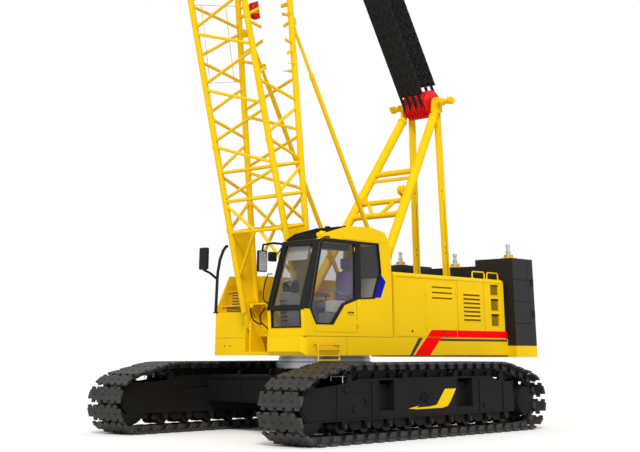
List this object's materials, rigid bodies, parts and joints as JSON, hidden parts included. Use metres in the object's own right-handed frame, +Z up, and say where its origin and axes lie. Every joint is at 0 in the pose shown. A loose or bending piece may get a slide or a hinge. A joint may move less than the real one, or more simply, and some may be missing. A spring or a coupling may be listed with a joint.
{
  "type": "crawler crane",
  "caption": "Crawler crane with a lattice boom, gantry, luffing falls, hook block, left-hand cab, winch drums, stacked counterweight and wide tracks; slews, luffs and opens its doors",
  "frame": {"origin": "on the ground, on the slewing axis", "axes": "+X forward as the cab faces, +Y to the machine's left, +Z up along the slewing axis"},
  "size_m": [9.4129, 4.85, 17.5577],
  "materials": {
    "yellow_paint": "semi-gloss industrial yellow",
    "dark_frame": "dark grey paint, dusty",
    "track_steel": "worn grey cast shoes",
    "wheel_steel": "dark rolled steel",
    "ring_steel": "light machined steel",
    "weight_paint": "near-black paint",
    "red_paint": "red sheaves",
    "rope_steel": "greased wire rope",
    "rod_steel": "bright rod and lifting posts",
    "glass": "lightly tinted cab glass",
    "seat_fabric": "purple grey cloth",
    "grey_plastic": "dark grey trim",
    "white_paint": "blank white sheet",
    "grey_engine": "grey engine block"
  },
  "bodies": {
    "base": {"carbody": "yellow_paint", "slew_ring_lower": "ring_steel", "track_frame_left": "dark_frame", "track_frame_right": "dark_frame", "track_left": "track_steel", "track_right": "track_steel", "track_rollers": "wheel_steel", "idlers": "wheel_steel", "final_drives": "dark_frame"},
    "upper": {"slew_ring_upper": "ring_steel", "main_frame": "yellow_paint", "decks": "yellow_paint", "house_left": "yellow_paint", "house_right": "yellow_paint", "engine": "grey_engine", "cab_shell": "yellow_paint", "cab_glass": "glass", "seat": "seat_fabric", "console": "grey_plastic", "counterweight_tray": "yellow_paint", "counterweight_slabs": "weight_paint", "lifting_posts": "rod_steel", "gantry_legs": "yellow_paint", "gantry_head": "yellow_paint", "gantry_links": "yellow_paint", "gantry_sheaves": "red_paint"},
    "boom": {"boom_butt": "yellow_paint", "boom_insert": "yellow_paint", "boom_top": "yellow_paint", "head_sheaves": "red_paint", "sign_plate": "white_paint"},
    "hook": {"hoist_falls": "rope_steel", "hook_block": "yellow_paint", "hook": "wheel_steel"},
    "falls": {"luffing_falls_fixed": "rope_steel"},
    "spreader": {"luffing_falls_sliding": "rope_steel", "spreader": "red_paint", "pendants": "rope_steel"},
    "stop_sleeves": {"backstop_sleeves": "yellow_paint"},
    "stop_rods": {"backstop_rods": "rod_steel"},
    "cab_door": {"cab_door": "yellow_paint", "door_glass": "glass"},
    "hood_door_front": {"hood_door_front": "yellow_paint"},
    "hood_door_rear": {"hood_door_rear": "yellow_paint"},
    "drum_main": {"drum_main": "wheel_steel"},
    "drum_auxiliary": {"drum_auxiliary": "wheel_steel"},
    "drum_luffing": {"drum_luffing": "wheel_steel"}
  },
  "joints": [
    {"name": "slew", "type": "hinge", "parent": "base", "child": "upper", "pos_m": [0, 0, 1.11], "axis": [0, 0, 1], "continuous": true},
    {"name": "boom_luff", "type": "hinge", "parent": "upper", "child": "boom", "pos_m": [1.13, 0, 1.715], "axis": [0, 1, 0], "range_deg": [-1.1, 48.9]},
    {"name": "hook_plumb", "type": "hinge", "parent": "boom", "child": "hook", "pos_m": [4.77062, 0, 17.051], "axis": [0, 1, 0], "range_deg": [-49.1, 1.3]},
    {"name": "falls_swing", "type": "hinge", "parent": "upper", "child": "falls", "pos_m": [-2.98, 0, 6.05], "axis": [0, 1, 0], "range_deg": [-1.25, 46.71]},
    {"name": "spreader_pay_out", "type": "slide", "parent": "falls", "child": "spreader", "axis": [0.5138, 0, 0.8579], "range_m": [-0.1143, 4.9061]},
    {"name": "backstop_swing", "type": "hinge", "parent": "upper", "child": "stop_sleeves", "pos_m": [-1.19, 0, 2.3], "axis": [0, 1, 0], "range_deg": [-1.05, 38.21]},
    {"name": "backstop_slide", "type": "slide", "parent": "stop_sleeves", "child": "stop_rods", "axis": [0.5069, 0, 0.862], "range_m": [-0.0405, 1.6277]},
    {"name": "cab_door_hinge", "type": "hinge", "parent": "upper", "child": "cab_door", "pos_m": [0.935, 1.584, 2.2], "axis": [0, 0, 1], "range_deg": [0, 120]},
    {"name": "hood_door_front_hinge", "type": "hinge", "parent": "upper", "child": "hood_door_front", "pos_m": [-0.86, 1.584, 2], "axis": [0, 0, 1], "range_deg": [0, 110]},
    {"name": "hood_door_rear_hinge", "type": "hinge", "parent": "upper", "child": "hood_door_rear", "pos_m": [-1.76, 1.584, 2], "axis": [0, 0, 1], "range_deg": [0, 110]},
    {"name": "drum_main_turn", "type": "hinge", "parent": "upper", "child": "drum_main", "pos_m": [0.33, 0, 1.76], "axis": [0, 1, 0], "continuous": true},
    {"name": "drum_auxiliary_turn", "type": "hinge", "parent": "upper", "child": "drum_auxiliary", "pos_m": [-0.64, 0, 1.76], "axis": [0, 1, 0], "continuous": true},
    {"name": "drum_luffing_turn", "type": "hinge", "parent": "upper", "child": "drum_luffing", "pos_m": [-2.05, 0, 1.74], "axis": [0, 1, 0], "continuous": true}
  ],
  "couplings": [
    {"joint": "hook_plumb", "follows": "boom_luff", "ratio": -1},
    {"joint": "falls_swing", "follows": "boom_luff", "ratio": 0.95114},
    {"joint": "spreader_pay_out", "follows": "boom_luff", "m_per_rad": 5.7437},
    {"joint": "backstop_swing", "follows": "boom_luff", "ratio": 0.77722},
    {"joint": "backstop_slide", "follows": "boom_luff", "m_per_rad": 1.9024}
  ]
}
